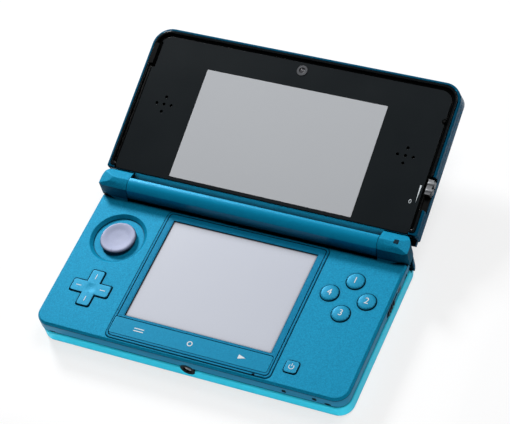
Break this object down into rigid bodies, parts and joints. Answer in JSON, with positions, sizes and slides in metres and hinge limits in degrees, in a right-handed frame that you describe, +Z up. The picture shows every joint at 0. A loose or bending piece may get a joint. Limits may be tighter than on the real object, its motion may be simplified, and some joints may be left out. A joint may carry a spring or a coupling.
{
  "type": "clamshell handheld game console",
  "caption": "Clamshell handheld game console with two screens, slide pad, direction pad, round buttons and shoulder buttons, open on its hinge.",
  "frame": {"origin": "middle of the flat underside of the lower half, half way between its sides and half way along its depth", "axes": "+X to the player's right, +Y to the back where the hinge is, +Z up; the lid is at its open stop at rest"},
  "size_m": [0.1352, 0.1361, 0.0364],
  "materials": {
    "cyan_plastic": "satin cyan, moulded",
    "blue_plastic": "satin blue, moulded",
    "blue_paint": "fine metallic paint, satin",
    "blue_gloss": "high gloss blue",
    "black_gloss": "high gloss black",
    "black_plastic": "matte black",
    "key_plastic": "satin grey blue",
    "pad_plastic": "matte lavender grey, soft touch",
    "strip_film": "gloss printed film",
    "stylus_plastic": "matte dark grey",
    "touch_film": "satin film over the screen",
    "screen_glass": "flat, unlit",
    "screen_metal": "pressed metal frame",
    "board": "solder-masked board",
    "chips": "moulded packages",
    "battery_wrap": "dark grey wrap",
    "gold_contacts": "gold-plated",
    "steel": "zinc plated",
    "silver_trim": "satin silver",
    "camera_trim": "satin grey ring, dark lens",
    "clear_light": "clear light pipe, unlit",
    "key_rubber": "silicone",
    "pad_rubber": "soft black pad"
  },
  "bodies": {
    "base": {"bottom_cover": "cyan_plastic", "cover_screws": "steel", "lower_case": "blue_plastic", "case_screws": "steel", "control_plate": "blue_paint", "screen_frame": "blue_gloss", "touch_panel": "touch_film", "lower_screen": "screen_metal", "main_board": "board", "board_chips": "chips", "battery": "battery_wrap", "battery_contacts": "gold_contacts", "game_card_slot": "steel", "memory_card_slot": "steel", "headphone_socket": "black_plastic", "charging_socket": "steel", "infrared_window": "black_gloss", "microphone": "steel", "power_light": "clear_light", "charge_light": "clear_light", "wireless_light": "black_gloss", "notice_light": "black_gloss", "button_rubber": "key_rubber", "slide_pad_frame": "black_plastic", "key_switches": "steel", "shoulder_pins": "steel", "shoulder_springs": "steel", "hinge_pins": "steel"},
    "lid": {"lid_cover": "blue_gloss", "lid_frame": "blue_gloss", "lid_rim": "black_gloss", "front_panel": "black_gloss", "upper_glass": "screen_glass", "upper_screen": "screen_metal", "speakers": "black_plastic", "inner_camera": "camera_trim", "outer_cameras": "camera_trim", "camera_board": "board", "lid_pads": "pad_rubber"},
    "memory_card_door": {"memory_card_door": "blue_plastic"},
    "slide_pad_carriage": {"slide_pad_carriage": "black_plastic"},
    "slide_pad": {"slide_pad": "pad_plastic", "slide_pad_skirt": "blue_paint"},
    "direction_rubber": {"direction_rubber": "key_rubber"},
    "direction_pad": {"direction_pad": "key_plastic"},
    "button_top": {"button_top": "key_plastic"},
    "button_right": {"button_right": "key_plastic"},
    "button_bottom": {"button_bottom": "key_plastic"},
    "button_left": {"button_left": "key_plastic"},
    "power_button": {"power_button": "key_plastic"},
    "menu_strip": {"menu_strip": "strip_film"},
    "shoulder_button_left": {"shoulder_button_left": "blue_gloss"},
    "shoulder_button_right": {"shoulder_button_right": "blue_gloss"},
    "wireless_switch": {"wireless_switch": "black_plastic"},
    "volume_slider": {"volume_slider": "black_plastic"},
    "stylus": {"stylus": "stylus_plastic"},
    "depth_slider": {"depth_slider": "silver_trim"}
  },
  "joints": [
    {"name": "lid_hinge", "type": "hinge", "parent": "base", "child": "lid", "pos_m": [0, 0.0317, 0.01495], "axis": [1, 0, 0], "range_deg": [0, 163.6]},
    {"name": "depth_slide", "type": "slide", "parent": "lid", "child": "depth_slider", "axis": [0, 0.9593, 0.2823], "range_m": [-0.0064, 0.0009]},
    {"name": "pad_slide_x", "type": "slide", "parent": "base", "child": "slide_pad_carriage", "axis": [1, 0, 0], "range_m": [-0.0019, 0.0019], "stiffness_N_per_m": 120},
    {"name": "pad_slide_y", "type": "slide", "parent": "slide_pad_carriage", "child": "slide_pad", "axis": [0, 1, 0], "range_m": [-0.0019, 0.0019], "stiffness_N_per_m": 120},
    {"name": "direction_rock_x", "type": "hinge", "parent": "base", "child": "direction_rubber", "pos_m": [-0.0501, -0.0168, 0.0104], "axis": [1, 0, 0], "range_deg": [-2.6, 2.6], "stiffness_Nm_per_rad": 0.08},
    {"name": "direction_rock_y", "type": "hinge", "parent": "direction_rubber", "child": "direction_pad", "pos_m": [-0.0501, -0.0168, 0.0104], "axis": [0, 1, 0], "range_deg": [-2.6, 2.6], "stiffness_Nm_per_rad": 0.08},
    {"name": "button_top_press", "type": "slide", "parent": "base", "child": "button_top", "axis": [0, 0, -1], "range_m": [0, 0.0006], "stiffness_N_per_m": 600},
    {"name": "button_right_press", "type": "slide", "parent": "base", "child": "button_right", "axis": [0, 0, -1], "range_m": [0, 0.0006], "stiffness_N_per_m": 600},
    {"name": "button_bottom_press", "type": "slide", "parent": "base", "child": "button_bottom", "axis": [0, 0, -1], "range_m": [0, 0.0006], "stiffness_N_per_m": 600},
    {"name": "button_left_press", "type": "slide", "parent": "base", "child": "button_left", "axis": [0, 0, -1], "range_m": [0, 0.0006], "stiffness_N_per_m": 600},
    {"name": "power_press", "type": "slide", "parent": "base", "child": "power_button", "axis": [0, 0, -1], "range_m": [0, 0.0003], "stiffness_N_per_m": 1000},
    {"name": "strip_press", "type": "slide", "parent": "base", "child": "menu_strip", "axis": [0, 0, -1], "range_m": [0, 0.00025], "stiffness_N_per_m": 1500},
    {"name": "shoulder_left_press", "type": "hinge", "parent": "base", "child": "shoulder_button_left", "pos_m": [-0.0459, 0.034, 0.0065], "axis": [0, 0, 1], "range_deg": [0, 2.8], "stiffness_Nm_per_rad": 0.3},
    {"name": "shoulder_right_press", "type": "hinge", "parent": "base", "child": "shoulder_button_right", "pos_m": [0.0459, 0.034, 0.0065], "axis": [0, 0, -1], "range_deg": [0, 2.8], "stiffness_Nm_per_rad": 0.3},
    {"name": "wireless_slide", "type": "slide", "parent": "base", "child": "wireless_switch", "axis": [0, 1, 0], "range_m": [0, 0.0032], "stiffness_N_per_m": 150},
    {"name": "volume_slide", "type": "slide", "parent": "base", "child": "volume_slider", "axis": [0, 1, 0], "range_m": [-0.0039, 0.0039]},
    {"name": "memory_door_hinge", "type": "hinge", "parent": "base", "child": "memory_card_door", "pos_m": [-0.0663, 0.011, 0.00225], "axis": [0, -1, 0], "range_deg": [0, 90]},
    {"name": "stylus_slide", "type": "slide", "parent": "base", "child": "stylus", "axis": [0, 1, 0], "range_m": [0, 0.058]}
  ]
}
